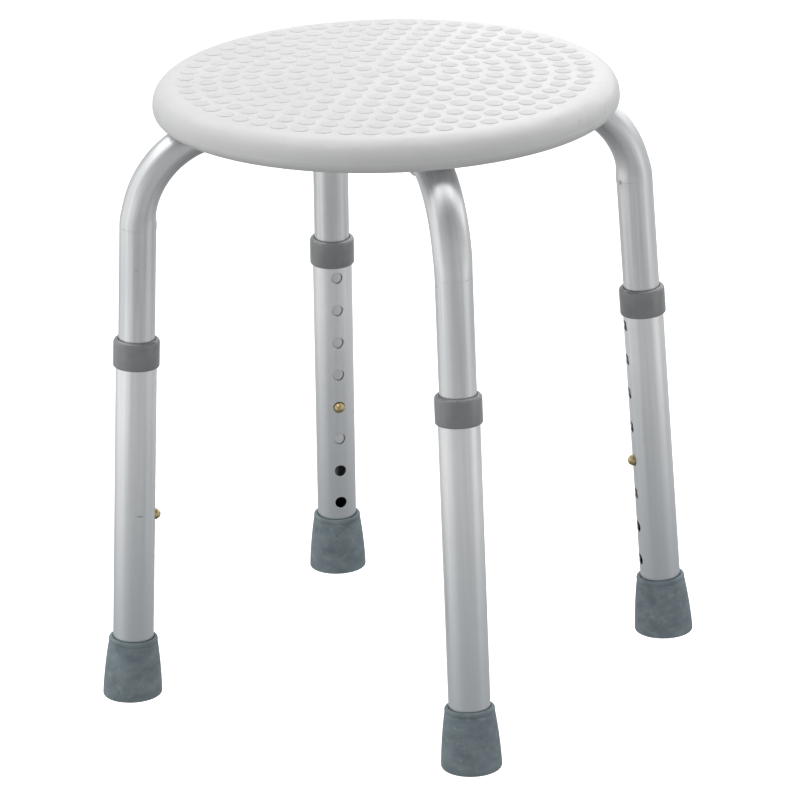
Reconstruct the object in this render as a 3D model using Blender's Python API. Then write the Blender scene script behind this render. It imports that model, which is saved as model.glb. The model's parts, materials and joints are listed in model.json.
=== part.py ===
"""Adjustable round shower stool: a blow-moulded seat on two crossed, bent tube frames.

Each of the four legs is a telescope. The outer tube slides on the frame's inner tube and
is held by a spring button in one of its eight holes. Units are metres, +Z is up, and the
origin is on the floor under the middle of the seat. Front is -Y and right is +X.
"""

from math import asin, atan, cos, pi, radians, sin, tan

import bmesh
import bpy
from mathutils import Matrix, Vector

INCH = 0.0254

# Seat
SEAT_RADIUS = 0.160
SEAT_TOP = 17 * INCH
SEAT_THICKNESS = 0.0226
CROWN_HEIGHT = 0.0037
CROWN_FLAT = 0.016
CROWN_RADIUS = 0.140
SEAT_TOP_EDGE_ROUND = 0.0146
SEAT_BOTTOM_EDGE_ROUND = 0.0062
SEAT_WALL = 0.003
BOSS_RADIUS = 0.008
BLOW_HOLE_RADIUS = 0.004
BLOW_HOLE_PLACE = 0.062

# Frame tubes, which are also the inner tubes of the legs
FRAME_TUBE_RADIUS = 1 * INCH / 2
FRAME_TUBE_WALL = 0.0012
FRAME_TUBE_HEIGHT = 0.4047
BEND_RADIUS = 0.065
BEND_FLATTENING = 0.08
BEND_FLATTENING_RAMP = radians(14)
LAP_FLAT = 0.018
LAP_LENGTH = 0.040
LAP_WIDTH = 0.0328
LAP_GAP = 0.0006
LAP_SQUARENESS = 3.0
INNER_END_BELOW_BUTTON = 0.038

# Legs, measured along each leg's own axis from the floor
LEG_RADIUS_AT_FLOOR = 0.195
SPLAY = atan(0.0544)
OUTER_TUBE_RADIUS = 1.125 * INCH / 2
OUTER_TUBE_WALL = 0.001
OUTER_TUBE_BOTTOM = 0.008
OUTER_TUBE_TOP = 0.2588
HOLE_COUNT = 8
HOLE_PITCH = 1 * INCH
LOWEST_HOLE = 0.0565
BUTTON_HOLE = 3
HOLE_RADIUS = 0.0042
COLLAR_BOTTOM = 0.2423
COLLAR_TOP = 0.2623
COLLAR_RADIUS = 0.01615
COLLAR_ROUND = 0.0022

# Rubber feet
FOOT_HEIGHT = 0.043
FOOT_TOP_RADIUS = 0.0172
FOOT_BOTTOM_RADIUS = 0.0208
FOOT_LIP_ROUND = 0.002
FOOT_HEEL_ROUND = 0.002
FOOT_FLOOR = 0.0055
FOOT_WASHER_RADIUS = 0.0135
FOOT_WASHER_HOLE = 0.005
FOOT_WASHER_THICKNESS = 0.0015

# Spring buttons
BUTTON_RADIUS = 0.0039
BUTTON_TIP = 0.0183
BUTTON_DOME = 0.0026
BUTTON_BASE = 0.0104
CLIP_WIDTH = 0.008
CLIP_THICKNESS = 0.0008
CLIP_BELOW_BUTTON = 0.007
CLIP_BEND_RADIUS = 0.003
CLIP_LENGTH = 0.045

# Fasteners under the seat
ARM_SCREW_PLACE = 0.086
ARM_SCREW_RADIUS = 0.0025
ARM_SCREW_HEAD_RADIUS = 0.005
ARM_SCREW_HEAD = 0.0032
SADDLE_RADIUS = 0.008
SADDLE_THICKNESS = 0.003
CENTRE_BOLT_RADIUS = 0.003
CENTRE_BOLT_HEAD_RADIUS = 0.0058
CENTRE_BOLT_HEAD = 0.004
CENTRE_WASHER_RADIUS = 0.009
CENTRE_WASHER_THICKNESS = 0.0015
SCREW_END_BELOW_TOP = 0.0062

# Gap left between pieces that touch, and the number of flats on round pieces
GAP = 0.0003
ROUND_SIDES = 16
SEAT_SIDES = 40
CROWN_STEPS = 4
SMALL_SIDES = 12
BEND_STEPS = 6
LAP_STEPS = 3
ARC_STEPS = 3

SEAT_BOTTOM = SEAT_TOP - SEAT_THICKNESS
BUTTON_HEIGHT = LOWEST_HOLE + BUTTON_HOLE * HOLE_PITCH
FRAME_TUBE_BOTTOM = FRAME_TUBE_HEIGHT - FRAME_TUBE_RADIUS
SCREW_END = SEAT_TOP - SCREW_END_BELOW_TOP
LEG_DIRECTIONS = {"right": 0, "back": pi / 2, "left": pi, "front": -pi / 2}

MATERIALS = {
    "seat_plastic": ((0.80, 0.80, 0.80), 0.35, 0.0),
    "anodised_aluminium": ((0.62, 0.64, 0.66), 0.42, 1.0),
    "collar_plastic": ((0.17, 0.18, 0.19), 0.45, 0.0),
    "foot_rubber": ((0.14, 0.18, 0.20), 0.75, 0.0),
    "brass": ((0.62, 0.47, 0.22), 0.3, 1.0),
    "zinc_plated_steel": ((0.60, 0.61, 0.62), 0.35, 1.0),
    "spring_steel": ((0.45, 0.46, 0.48), 0.35, 1.0),
}


def clear_scene():
    for obj in list(bpy.data.objects):
        bpy.data.objects.remove(obj, do_unlink=True)


def make_materials():
    """One Principled material for each finish, by name."""
    made = {}
    for name, (colour, roughness, metallic) in MATERIALS.items():
        material = bpy.data.materials.new(name)
        material.use_nodes = True
        shader = material.node_tree.nodes["Principled BSDF"]
        shader.inputs["Base Color"].default_value = (*colour, 1.0)
        shader.inputs["Roughness"].default_value = roughness
        shader.inputs["Metallic"].default_value = metallic
        made[name] = material
    return made


def arc(centre, radius, start, end, steps=ARC_STEPS):
    """Points of a 2D arc, its two ends included."""
    angles = [start + (end - start) * i / steps for i in range(steps + 1)]
    return [(centre[0] + radius * cos(a), centre[1] + radius * sin(a)) for a in angles]


def mesh_from(bm, name, smooth_angle=radians(35)):
    """A mesh with outward faces from a bmesh, shaded smooth except at its sharp edges."""
    bmesh.ops.recalc_face_normals(bm, faces=bm.faces)
    mesh = bpy.data.meshes.new(name)
    bm.to_mesh(mesh)
    bm.free()
    mesh.shade_smooth()
    mesh.set_sharp_from_angle(angle=smooth_angle)
    return mesh


def bridge(bm, first, second):
    """Quads between two rings with the same number of points."""
    count = len(first)
    for i in range(count):
        j = (i + 1) % count
        bm.faces.new((first[i], first[j], second[j], second[i]))


def lathe(name, profile, sides, closed=False, place=lambda x, y, z: (x, y, z)):
    """Turns a (radius, height) profile round Z. Points on the axis become one point.

    A closed profile makes a ring-shaped solid; an open one starts and ends on the axis.
    place maps each point, so that a piece can be sheared or laid on its side.
    """
    bm = bmesh.new()
    rings = []
    for radius, height in profile:
        if radius == 0:
            rings.append([bm.verts.new(place(0, 0, height))])
            continue
        turns = [2 * pi * i / sides for i in range(sides)]
        points = [place(radius * cos(t), radius * sin(t), height) for t in turns]
        rings.append([bm.verts.new(p) for p in points])
    if closed:
        rings.append(rings[0])
    for first, second in zip(rings, rings[1:]):
        if len(first) == 1 or len(second) == 1:
            tip, ring = (first[0], second) if len(first) == 1 else (second[0], first)
            for i in range(sides):
                bm.faces.new((tip, ring[i], ring[(i + 1) % sides]))
        else:
            bridge(bm, first, second)
    return mesh_from(bm, name)


def add_object(name, mesh, material=None, parent=None, matrix=None):
    """Links an object for a mesh. matrix is its place under its parent."""
    obj = bpy.data.objects.new(name, mesh)
    bpy.context.scene.collection.objects.link(obj)
    if material:
        mesh.materials.clear()
        mesh.materials.append(material)
    obj.parent = parent
    if matrix:
        obj.matrix_local = matrix
    return obj


def add_cutter(name, mesh, parent=None):
    cutter = add_object(name, mesh, parent=parent)
    cutter.hide_render = True
    cutter.display_type = "WIRE"
    return cutter


def cut(target, cutter):
    modifier = target.modifiers.new("cut_" + cutter.name, "BOOLEAN")
    modifier.operation = "DIFFERENCE"
    modifier.solver = "EXACT"
    modifier.object = cutter


def posts_mesh(name, places, radius, bottom, top):
    """Upright cylinders at several places, as one mesh for cutting with.

    Half a side's turn keeps their corners off the edges of the pieces that they cut.
    """
    bm = bmesh.new()
    turn = Matrix.Rotation(pi / SMALL_SIDES, 4, "Z")
    for x, y in places:
        centre = Matrix.Translation((x, y, (bottom + top) / 2)) @ turn
        bmesh.ops.create_cone(
            bm, cap_ends=True, segments=SMALL_SIDES, radius1=radius, radius2=radius,
            depth=top - bottom, matrix=centre,
        )
    return mesh_from(bm, name)


# Frame tubes


def smoothstep(value):
    value = min(max(value, 0.0), 1.0)
    return value * value * (3 - 2 * value)


def half_frame_path():
    """Stations from the middle of the frame to one leg's lower end.

    Each is (distance out, height, turn, lap, bend): turn is the tangent's angle below the
    horizontal, lap is how far the tube is pressed flat for the crossing, and bend is how
    much it is ovalised by bending. All are in the frame's own upright plane.
    """
    turn_end = pi / 2 - SPLAY
    corner = LEG_RADIUS_AT_FLOOR - tan(SPLAY) * FRAME_TUBE_HEIGHT
    bend_start = corner - BEND_RADIUS * tan(turn_end / 2)
    stations = [(0.0, FRAME_TUBE_HEIGHT, 0.0, 1.0, 0.0)]
    for i in range(LAP_STEPS + 1):
        out = LAP_FLAT + (LAP_LENGTH - LAP_FLAT) * i / LAP_STEPS
        stations.append((out, FRAME_TUBE_HEIGHT, 0.0, 1 - smoothstep(i / LAP_STEPS), 0.0))
    for i in range(BEND_STEPS + 1):
        turn = turn_end * i / BEND_STEPS
        out = bend_start + BEND_RADIUS * sin(turn)
        height = FRAME_TUBE_HEIGHT - BEND_RADIUS * (1 - cos(turn))
        bend = smoothstep(min(turn, turn_end - turn) / BEND_FLATTENING_RAMP)
        stations.append((out, height, turn, 0.0, bend))
    end = BUTTON_HEIGHT - INNER_END_BELOW_BUTTON
    stations.append((LEG_RADIUS_AT_FLOOR - sin(SPLAY) * end, cos(SPLAY) * end, turn_end, 0.0, 0.0))
    return stations


def section_point(angle, half_width, half_height, squareness):
    """A point of a superellipse: squareness 2 is an ellipse, and more is squarer."""
    across = abs(cos(angle)) ** (2 / squareness) * half_width
    up = abs(sin(angle)) ** (2 / squareness) * half_height
    return (across if cos(angle) > 0 else -across, up if sin(angle) > 0 else -up)


def frame_ring(bm, station, side, lap_side, grow, outward, across):
    """One ring of the frame tube. grow is added to the tube's radius."""
    out, height, turn, lap, bend = station
    centre = outward * (side * out) + Vector((0, 0, height))
    normal = outward * (side * sin(turn)) + Vector((0, 0, cos(turn)))
    lap_half_height = (FRAME_TUBE_RADIUS - LAP_GAP / 2) / 2
    lap_offset = lap_side * (FRAME_TUBE_RADIUS - lap_half_height)
    half_height = FRAME_TUBE_RADIUS * (1 - BEND_FLATTENING * bend)
    half_height += (lap_half_height - half_height) * lap + grow
    half_width = FRAME_TUBE_RADIUS * (1 + BEND_FLATTENING * bend / 2)
    half_width += (LAP_WIDTH / 2 - half_width) * lap + grow
    squareness = 2 + (LAP_SQUARENESS - 2) * lap
    ring = []
    for i in range(ROUND_SIDES):
        w, h = section_point(2 * pi * i / ROUND_SIDES, half_width, half_height, squareness)
        ring.append(bm.verts.new(centre + across * w + normal * (h + lap_offset * lap)))
    return ring


def frame_rings(bm, direction, lap_side, grow):
    """All the rings of a frame tube, from one leg's end to the other's."""
    outward = Vector((cos(direction), sin(direction), 0))
    across = Vector((-sin(direction), cos(direction), 0))
    half = half_frame_path()
    stations = [(s, -1) for s in reversed(half)] + [(s, 1) for s in half[1:]]
    return [frame_ring(bm, s, side, lap_side, grow, outward, across) for s, side in stations]


def frame_tube_mesh(name, direction, lap_side):
    bm = bmesh.new()
    outer = frame_rings(bm, direction, lap_side, 0.0)
    inner = frame_rings(bm, direction, lap_side, -FRAME_TUBE_WALL)
    for rings in (outer, inner):
        for first, second in zip(rings, rings[1:]):
            bridge(bm, first, second)
    bridge(bm, outer[0], inner[0])
    bridge(bm, outer[-1], inner[-1])
    return mesh_from(bm, name)


def frame_solid_mesh(name, direction, lap_side, grow):
    """The frame tube's outer shape, grown and without its bore, for cutting with."""
    bm = bmesh.new()
    rings = frame_rings(bm, direction, lap_side, grow)
    for first, second in zip(rings, rings[1:]):
        bridge(bm, first, second)
    bm.faces.new(rings[0])
    bm.faces.new(rings[-1])
    return mesh_from(bm, name)


# Leg frames: an empty at each leg's foot, with Z up the leg and X away from the middle


def leg_matrix(direction):
    spin = Matrix.Rotation(direction, 4, "Z")
    out = Matrix.Translation((LEG_RADIUS_AT_FLOOR, 0, 0))
    lean = Matrix.Rotation(-SPLAY, 4, "Y")
    return spin @ out @ lean


def add_leg_empty(side, direction):
    empty = bpy.data.objects.new("leg_" + side, None)
    empty.empty_display_size = 0.05
    bpy.context.scene.collection.objects.link(empty)
    empty.matrix_world = leg_matrix(direction)
    return empty


def hole_cutter_mesh(name, heights, inner_reach, outer_reach):
    """Cylinders along -X at each height, from inner_reach to outer_reach off the axis."""
    bm = bmesh.new()
    lay = Matrix.Rotation(pi / 2, 4, "Y")
    for height in heights:
        centre = Matrix.Translation((-(inner_reach + outer_reach) / 2, 0, height))
        bmesh.ops.create_cone(
            bm, cap_ends=True, segments=SMALL_SIDES, radius1=HOLE_RADIUS, radius2=HOLE_RADIUS,
            depth=outer_reach - inner_reach, matrix=centre @ lay,
        )
    return mesh_from(bm, name)


def outer_tube_mesh():
    inner = OUTER_TUBE_RADIUS - OUTER_TUBE_WALL
    profile = [
        (OUTER_TUBE_RADIUS, OUTER_TUBE_TOP),
        (OUTER_TUBE_RADIUS, OUTER_TUBE_BOTTOM),
        (inner, OUTER_TUBE_BOTTOM),
        (inner, OUTER_TUBE_TOP),
    ]
    return lathe("outer_tube", profile, ROUND_SIDES, closed=True)


def collar_mesh():
    """A sleeve over the outer tube's end, with a lip that guides the inner tube."""
    sleeve = OUTER_TUBE_RADIUS + GAP
    lip = FRAME_TUBE_RADIUS + GAP
    shoulder = (COLLAR_RADIUS - COLLAR_ROUND, COLLAR_TOP - COLLAR_ROUND)
    profile = arc(shoulder, COLLAR_ROUND, pi / 2, 0)
    profile += [
        (COLLAR_RADIUS, COLLAR_BOTTOM),
        (sleeve, COLLAR_BOTTOM),
        (sleeve, OUTER_TUBE_TOP + GAP),
        (lip, OUTER_TUBE_TOP + GAP),
        (lip, COLLAR_TOP),
    ]
    return lathe("collar", profile, ROUND_SIDES, closed=True)


def foot_mesh():
    """A tapered cup. Its sole is sheared to lie flat on the floor under the splayed leg."""
    taper = asin((FOOT_BOTTOM_RADIUS - FOOT_TOP_RADIUS) / FOOT_HEIGHT)
    lip = (FOOT_TOP_RADIUS - FOOT_LIP_ROUND, FOOT_HEIGHT - FOOT_LIP_ROUND)
    heel = (FOOT_BOTTOM_RADIUS - FOOT_HEEL_ROUND, FOOT_HEEL_ROUND)
    bore = OUTER_TUBE_RADIUS + GAP
    profile = [(0, FOOT_FLOOR), (bore, FOOT_FLOOR), (bore, FOOT_HEIGHT)]
    profile += arc(lip, FOOT_LIP_ROUND, pi / 2, taper)
    profile += arc(heel, FOOT_HEEL_ROUND, taper, -pi / 2)
    profile += [(0, 0)]

    def shear(x, y, z):
        fade = max(0.0, 1 - z / FOOT_FLOOR)
        return (x, y, z - x * tan(SPLAY) * fade)

    return lathe("rubber_foot", profile, ROUND_SIDES, place=shear)


def foot_washer_mesh():
    bottom = FOOT_FLOOR + GAP
    top = bottom + FOOT_WASHER_THICKNESS
    profile = [
        (FOOT_WASHER_RADIUS, top),
        (FOOT_WASHER_RADIUS, bottom),
        (FOOT_WASHER_HOLE, bottom),
        (FOOT_WASHER_HOLE, top),
    ]
    return lathe("foot_washer", profile, ROUND_SIDES, closed=True)


def button_mesh():
    """A domed pin along -X, with its origin where its axis meets the leg's axis."""
    straight_end = BUTTON_TIP - BUTTON_DOME
    dome_radius = (BUTTON_RADIUS**2 + BUTTON_DOME**2) / (2 * BUTTON_DOME)
    dome_angle = asin(BUTTON_RADIUS / dome_radius)
    centre = (0, BUTTON_TIP - dome_radius)
    dome = arc(centre, dome_radius, pi / 2 - dome_angle, pi / 2)
    profile = [(0, BUTTON_BASE), (BUTTON_RADIUS, BUTTON_BASE), (BUTTON_RADIUS, straight_end)]
    profile += dome[1:-1] + [(0, BUTTON_TIP)]
    return lathe("snap_button", profile, SMALL_SIDES, place=lambda x, y, z: (-z, x, y))


def clip_mesh():
    """A leaf spring bent to a V inside the inner tube, with its bend above the button."""
    bore = FRAME_TUBE_RADIUS - FRAME_TUBE_WALL
    near = BUTTON_BASE - GAP - CLIP_THICKNESS / 2
    far = bore * cos(asin(CLIP_WIDTH / 2 / bore)) - GAP - CLIP_THICKNESS / 2
    low = -CLIP_BELOW_BUTTON
    bend = arc((0, CLIP_LENGTH + low - CLIP_BEND_RADIUS), CLIP_BEND_RADIUS, pi, 0, 6)
    centres = [Vector(p) for p in [(-near, low), (-near, CLIP_BELOW_BUTTON), *bend, (far, low)]]
    bm = bmesh.new()
    rings = []
    for i, centre in enumerate(centres):
        before = centres[max(i - 1, 0)]
        after = centres[min(i + 1, len(centres) - 1)]
        along = (after - before).normalized()
        side = Vector((along.y, -along.x)) * (CLIP_THICKNESS / 2)
        edges = [(centre + side, 1), (centre + side, -1), (centre - side, -1), (centre - side, 1)]
        rings.append([bm.verts.new((p.x, s * CLIP_WIDTH / 2, p.y)) for p, s in edges])
    for first, second in zip(rings, rings[1:]):
        bridge(bm, first, second)
    bm.faces.new(rings[0])
    bm.faces.new(rings[-1])
    return mesh_from(bm, "spring_clip")


# Seat


def crown_profile(inset):
    """The crowned top, from its level middle down to where the tread ends."""
    profile = [(0, SEAT_TOP + CROWN_HEIGHT - inset)]
    for i in range(CROWN_STEPS + 1):
        part = i / CROWN_STEPS
        radius = CROWN_FLAT + (CROWN_RADIUS - CROWN_FLAT) * part
        profile.append((radius, SEAT_TOP + CROWN_HEIGHT * (1 + cos(pi * part)) / 2 - inset))
    return profile


def seat_outline(inset):
    """The seat's turned profile, or that of its hollow when inset by the wall."""
    top_round = SEAT_TOP_EDGE_ROUND - inset
    bottom_round = SEAT_BOTTOM_EDGE_ROUND - inset
    top_centre = (SEAT_RADIUS - SEAT_TOP_EDGE_ROUND, SEAT_TOP - SEAT_TOP_EDGE_ROUND)
    bottom_centre = (SEAT_RADIUS - SEAT_BOTTOM_EDGE_ROUND, SEAT_BOTTOM + SEAT_BOTTOM_EDGE_ROUND)
    profile = crown_profile(inset)
    profile += arc(top_centre, top_round, pi / 2, 0, 5)
    profile += arc(bottom_centre, bottom_round, 0, -pi / 2)
    profile += [(0, SEAT_BOTTOM + inset)]
    return profile


def screw_places():
    """(x, y) of the four arm screws, by side."""
    return {
        side: (ARM_SCREW_PLACE * cos(d), ARM_SCREW_PLACE * sin(d))
        for side, d in LEG_DIRECTIONS.items()
    }


def make_seat(material, frame_directions):
    """A hollow seat with grooves for the frame, solid bosses and the blow hole."""
    seat = add_object("seat", lathe("seat", seat_outline(0), SEAT_SIDES), material)
    hollow = add_cutter("seat_hollow", lathe("seat_hollow", seat_outline(SEAT_WALL), SEAT_SIDES))
    for name, (direction, lap_side) in frame_directions.items():
        mesh = frame_solid_mesh(name + "_wall", direction, lap_side, GAP + SEAT_WALL)
        cut(hollow, add_cutter(name + "_wall", mesh))
    bosses = [(0, 0), *screw_places().values()]
    boss_top = SEAT_TOP + CROWN_HEIGHT
    boss_mesh = posts_mesh("bosses", bosses, BOSS_RADIUS, SEAT_BOTTOM, boss_top)
    cut(hollow, add_cutter("bosses", boss_mesh))
    cut(seat, hollow)
    for name, (direction, lap_side) in frame_directions.items():
        mesh = frame_solid_mesh(name + "_groove", direction, lap_side, GAP)
        cut(seat, add_cutter(name + "_groove", mesh))
    return seat


def make_seat_holes(seat, frames):
    """Bores for the screws and bolt, through the frame and into the seat's bosses."""
    low = FRAME_TUBE_BOTTOM - SADDLE_THICKNESS
    high = SCREW_END + GAP
    places = list(screw_places().values())
    arm_mesh = posts_mesh("arm_bores", places, ARM_SCREW_RADIUS + GAP, low, high)
    centre_mesh = posts_mesh("centre_bore", [(0, 0)], CENTRE_BOLT_RADIUS + GAP, low, high)
    for mesh in (arm_mesh, centre_mesh):
        cutter = add_cutter(mesh.name, mesh)
        for target in (seat, *frames):
            cut(target, cutter)
    blow_place = [(BLOW_HOLE_PLACE, BLOW_HOLE_PLACE)]
    blow_top = SEAT_BOTTOM + 2 * SEAT_WALL
    blow_mesh = posts_mesh("blow_hole", blow_place, BLOW_HOLE_RADIUS, low, blow_top)
    cut(seat, add_cutter("blow_hole", blow_mesh))


# Fasteners


def screw_mesh(name, radius, head_radius, head_height, head_top, sides):
    """A domed or flat-headed screw pointing up, its head below head_top."""
    bottom = head_top - head_height
    profile = [
        (0, SCREW_END),
        (radius, SCREW_END),
        (radius, head_top),
        (head_radius, head_top),
        (head_radius, bottom + head_height * 0.35),
        (head_radius * 0.75, bottom),
        (0, bottom),
    ]
    return lathe(name, profile, sides)


def make_arm_fasteners(steel, frame_cutter, side, place):
    """One pan-head screw and the saddle washer that fits it to the round tube."""
    bottom = FRAME_TUBE_BOTTOM - SADDLE_THICKNESS
    top = FRAME_TUBE_BOTTOM + SADDLE_RADIUS / 4
    profile = [
        (SADDLE_RADIUS, top),
        (SADDLE_RADIUS, bottom),
        (ARM_SCREW_RADIUS + GAP, bottom),
        (ARM_SCREW_RADIUS + GAP, top),
    ]
    at_place = Matrix.Translation((*place, 0))
    washer_mesh = lathe("saddle_washer_" + side, profile, SMALL_SIDES, closed=True)
    washer = add_object("saddle_washer_" + side, washer_mesh, steel, matrix=at_place)
    cut(washer, frame_cutter)
    head_top = bottom - GAP
    screw = screw_mesh(
        "arm_screw_" + side, ARM_SCREW_RADIUS, ARM_SCREW_HEAD_RADIUS, ARM_SCREW_HEAD, head_top,
        SMALL_SIDES,
    )
    add_object("arm_screw_" + side, screw, steel, matrix=at_place)


def make_centre_fasteners(steel):
    """The bolt and flat washer that hold the crossing to the seat."""
    washer_top = FRAME_TUBE_BOTTOM - GAP
    washer_bottom = washer_top - CENTRE_WASHER_THICKNESS
    profile = [
        (CENTRE_WASHER_RADIUS, washer_top),
        (CENTRE_WASHER_RADIUS, washer_bottom),
        (CENTRE_BOLT_RADIUS + GAP, washer_bottom),
        (CENTRE_BOLT_RADIUS + GAP, washer_top),
    ]
    washer = lathe("centre_washer", profile, ROUND_SIDES, closed=True)
    add_object("centre_washer", washer, steel)
    bolt = screw_mesh(
        "centre_bolt", CENTRE_BOLT_RADIUS, CENTRE_BOLT_HEAD_RADIUS, CENTRE_BOLT_HEAD,
        washer_bottom - GAP, 6,
    )
    add_object("centre_bolt", bolt, steel)


def make_leg(side, empty, meshes, materials):
    """The sliding part of one leg: tube, collar, rubber foot and its washer."""
    aluminium = materials["anodised_aluminium"]
    tube = add_object("outer_tube_" + side, meshes["outer_tube"], aluminium, empty)
    heights = [LOWEST_HOLE + i * HOLE_PITCH for i in range(HOLE_COUNT)]
    reach = OUTER_TUBE_RADIUS + OUTER_TUBE_WALL
    holes = hole_cutter_mesh("leg_holes_" + side, heights, OUTER_TUBE_RADIUS / 2, reach)
    cut(tube, add_cutter("leg_holes_" + side, holes, empty))
    add_object("collar_" + side, meshes["collar"], materials["collar_plastic"], empty)
    add_object("rubber_foot_" + side, meshes["foot"], materials["foot_rubber"], empty)
    add_object("foot_washer_" + side, meshes["foot_washer"], materials["zinc_plated_steel"], empty)


def make_latch(side, empty, meshes, materials, frame):
    """The button, its spring and the hole for it in the frame's inner tube."""
    at_button = Matrix.Translation((0, 0, BUTTON_HEIGHT))
    add_object("snap_button_" + side, meshes["button"], materials["brass"], empty, at_button)
    add_object("spring_clip_" + side, meshes["clip"], materials["spring_steel"], empty, at_button)
    reach = FRAME_TUBE_RADIUS + GAP
    hole = hole_cutter_mesh("latch_hole_" + side, [BUTTON_HEIGHT], FRAME_TUBE_RADIUS / 2, reach)
    cut(frame, add_cutter("latch_hole_" + side, hole, empty))


def build():
    clear_scene()
    materials = make_materials()
    steel = materials["zinc_plated_steel"]
    frame_directions = {
        "frame_tube_left_right": (0.0, 1),
        "frame_tube_front_back": (pi / 2, -1),
    }
    frames = {}
    for name, (direction, lap_side) in frame_directions.items():
        mesh = frame_tube_mesh(name, direction, lap_side)
        frames[name] = add_object(name, mesh, materials["anodised_aluminium"])
    seat = make_seat(materials["seat_plastic"], frame_directions)
    make_seat_holes(seat, frames.values())
    make_centre_fasteners(steel)
    meshes = {
        "outer_tube": outer_tube_mesh(),
        "collar": collar_mesh(),
        "foot": foot_mesh(),
        "foot_washer": foot_washer_mesh(),
        "button": button_mesh(),
        "clip": clip_mesh(),
    }
    places = screw_places()
    for side, direction in LEG_DIRECTIONS.items():
        empty = add_leg_empty(side, direction)
        name = "frame_tube_left_right" if side in ("left", "right") else "frame_tube_front_back"
        make_leg(side, empty, meshes, materials)
        make_latch(side, empty, meshes, materials, frames[name])
        groove = bpy.data.objects[name + "_groove"]
        make_arm_fasteners(steel, groove, side, places[side])


build()
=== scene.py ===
"""The looks of the adjustable shower stool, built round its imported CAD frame.

Each CAD piece is replaced by a finer mesh of the same size. Lengths are metres. A leg's own
frame has its origin at the middle of the sole, Z up the leg's axis and X away from the stool's
middle. Materials read the point attribute "stock", which says where a point was on its piece
before the piece was bent or put in place.
"""

import json
from math import asin, atan2, cos, exp, pi, radians, sin, tan

import bmesh
import bpy
from mathutils import Matrix, Vector
from mathutils.geometry import delaunay_2d_cdt


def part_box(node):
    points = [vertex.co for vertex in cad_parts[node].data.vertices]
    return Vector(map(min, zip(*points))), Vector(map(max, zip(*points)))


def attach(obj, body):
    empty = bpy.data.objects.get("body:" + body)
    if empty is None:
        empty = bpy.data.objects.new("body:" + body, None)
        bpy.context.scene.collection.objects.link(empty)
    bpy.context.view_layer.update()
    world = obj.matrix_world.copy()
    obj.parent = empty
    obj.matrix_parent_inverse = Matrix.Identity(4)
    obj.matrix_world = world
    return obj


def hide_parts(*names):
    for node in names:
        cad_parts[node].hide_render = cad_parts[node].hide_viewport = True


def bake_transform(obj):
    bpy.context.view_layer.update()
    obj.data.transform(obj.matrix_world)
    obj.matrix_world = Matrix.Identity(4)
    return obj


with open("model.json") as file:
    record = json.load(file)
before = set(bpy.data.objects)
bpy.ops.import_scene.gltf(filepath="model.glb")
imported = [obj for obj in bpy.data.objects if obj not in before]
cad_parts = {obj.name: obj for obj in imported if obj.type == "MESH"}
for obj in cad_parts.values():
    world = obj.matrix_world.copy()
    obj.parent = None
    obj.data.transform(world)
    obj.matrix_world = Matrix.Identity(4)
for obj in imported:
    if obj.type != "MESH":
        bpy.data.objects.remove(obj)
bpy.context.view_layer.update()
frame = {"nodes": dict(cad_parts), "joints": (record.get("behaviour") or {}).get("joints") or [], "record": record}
mounts = {mount["name"]: mount for mount in frame["record"]["mounts"]}
joints = {joint["name"]: joint for joint in frame["joints"]}

SIDES = ("right", "back", "left", "front")
# Each bent tube's direction, and whether it passes over or under the other one
FRAME_TUBES = {
    "frame_tube_left_right": (0.0, 1),
    "frame_tube_front_back": (pi / 2, -1),
}
INCH = 0.0254

# Seat
SEAT_RADIUS = 0.160
SEAT_TOP = 17 * INCH
SEAT_BOTTOM = SEAT_TOP - 0.0226
CROWN_HEIGHT = 0.0037
CROWN_FLAT = 0.016
CROWN_RADIUS = 0.140
SEAT_TOP_EDGE_ROUND = 0.0146
SEAT_BOTTOM_EDGE_ROUND = 0.0062
# The parting line's points, by height round its place on the rim and by how far each stands out
PARTING_LINE_PLACE = 0.0068
PARTING_LINE = [
    (-0.0005, 0.0), (-0.0002, 0.00007), (0.0, 0.0001), (0.0002, 0.00007), (0.0005, 0.0),
]
RIM_STEPS = 16
BLOW_HOLE_RADIUS = 0.004
BLOW_HOLE_PLACE = 0.062
BLOW_HOLE_DEPTH = 0.012

# Tread of raised discs: ring k has 6k - 1 of them, and one disc is in the middle
DISC_RINGS = 9
DISC_RING_PITCH = 0.0152
DISC_RADIUS = 0.0058
DISC_START_ANGLE = radians(1.0)
DISC_SIDES = 24
# A disc's outline from its foot to its top, by distance from its edge and by height
DISC_STEPS = [
    (0.0002, 0.0), (0.00004, 0.00006), (-0.00004, 0.0003), (-0.00022, 0.00044), (-0.0007, 0.0005),
]
GROUND_PITCH = 0.0045
GROUND_ROW_RATIO = 0.866
DISC_CLEARANCE = 0.0008
TREAD_EDGE = 0.1444
TREAD_PRECISION = 1e-7

# Frame tubes
FRAME_TUBE_RADIUS = INCH / 2
FRAME_TUBE_WALL = 0.0012
FRAME_TUBE_HEIGHT = 0.4047
BEND_RADIUS = 0.065
BEND_FLATTENING = 0.08
BEND_FLATTENING_RAMP = 0.014
BEND_BULGE = 0.0004
BEND_BULGE_LENGTH = 0.0035
LAP_FLAT = 0.018
LAP_LENGTH = 0.040
LAP_WIDTH = 0.0328
LAP_GAP = 0.0006
LAP_SQUARENESS = 3.0

# Legs, by height along each leg's own axis
OUTER_TUBE_WALL = 0.001
HOLE_HEIGHTS = [0.0565 + i * INCH for i in range(8)]
BUTTON_HEIGHT = HOLE_HEIGHTS[3]
INNER_END_BELOW_BUTTON = 0.038
HOLE_RADIUS = 0.0042
HOLE_CHAMFER = 0.00035
GAP = 0.0003

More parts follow.
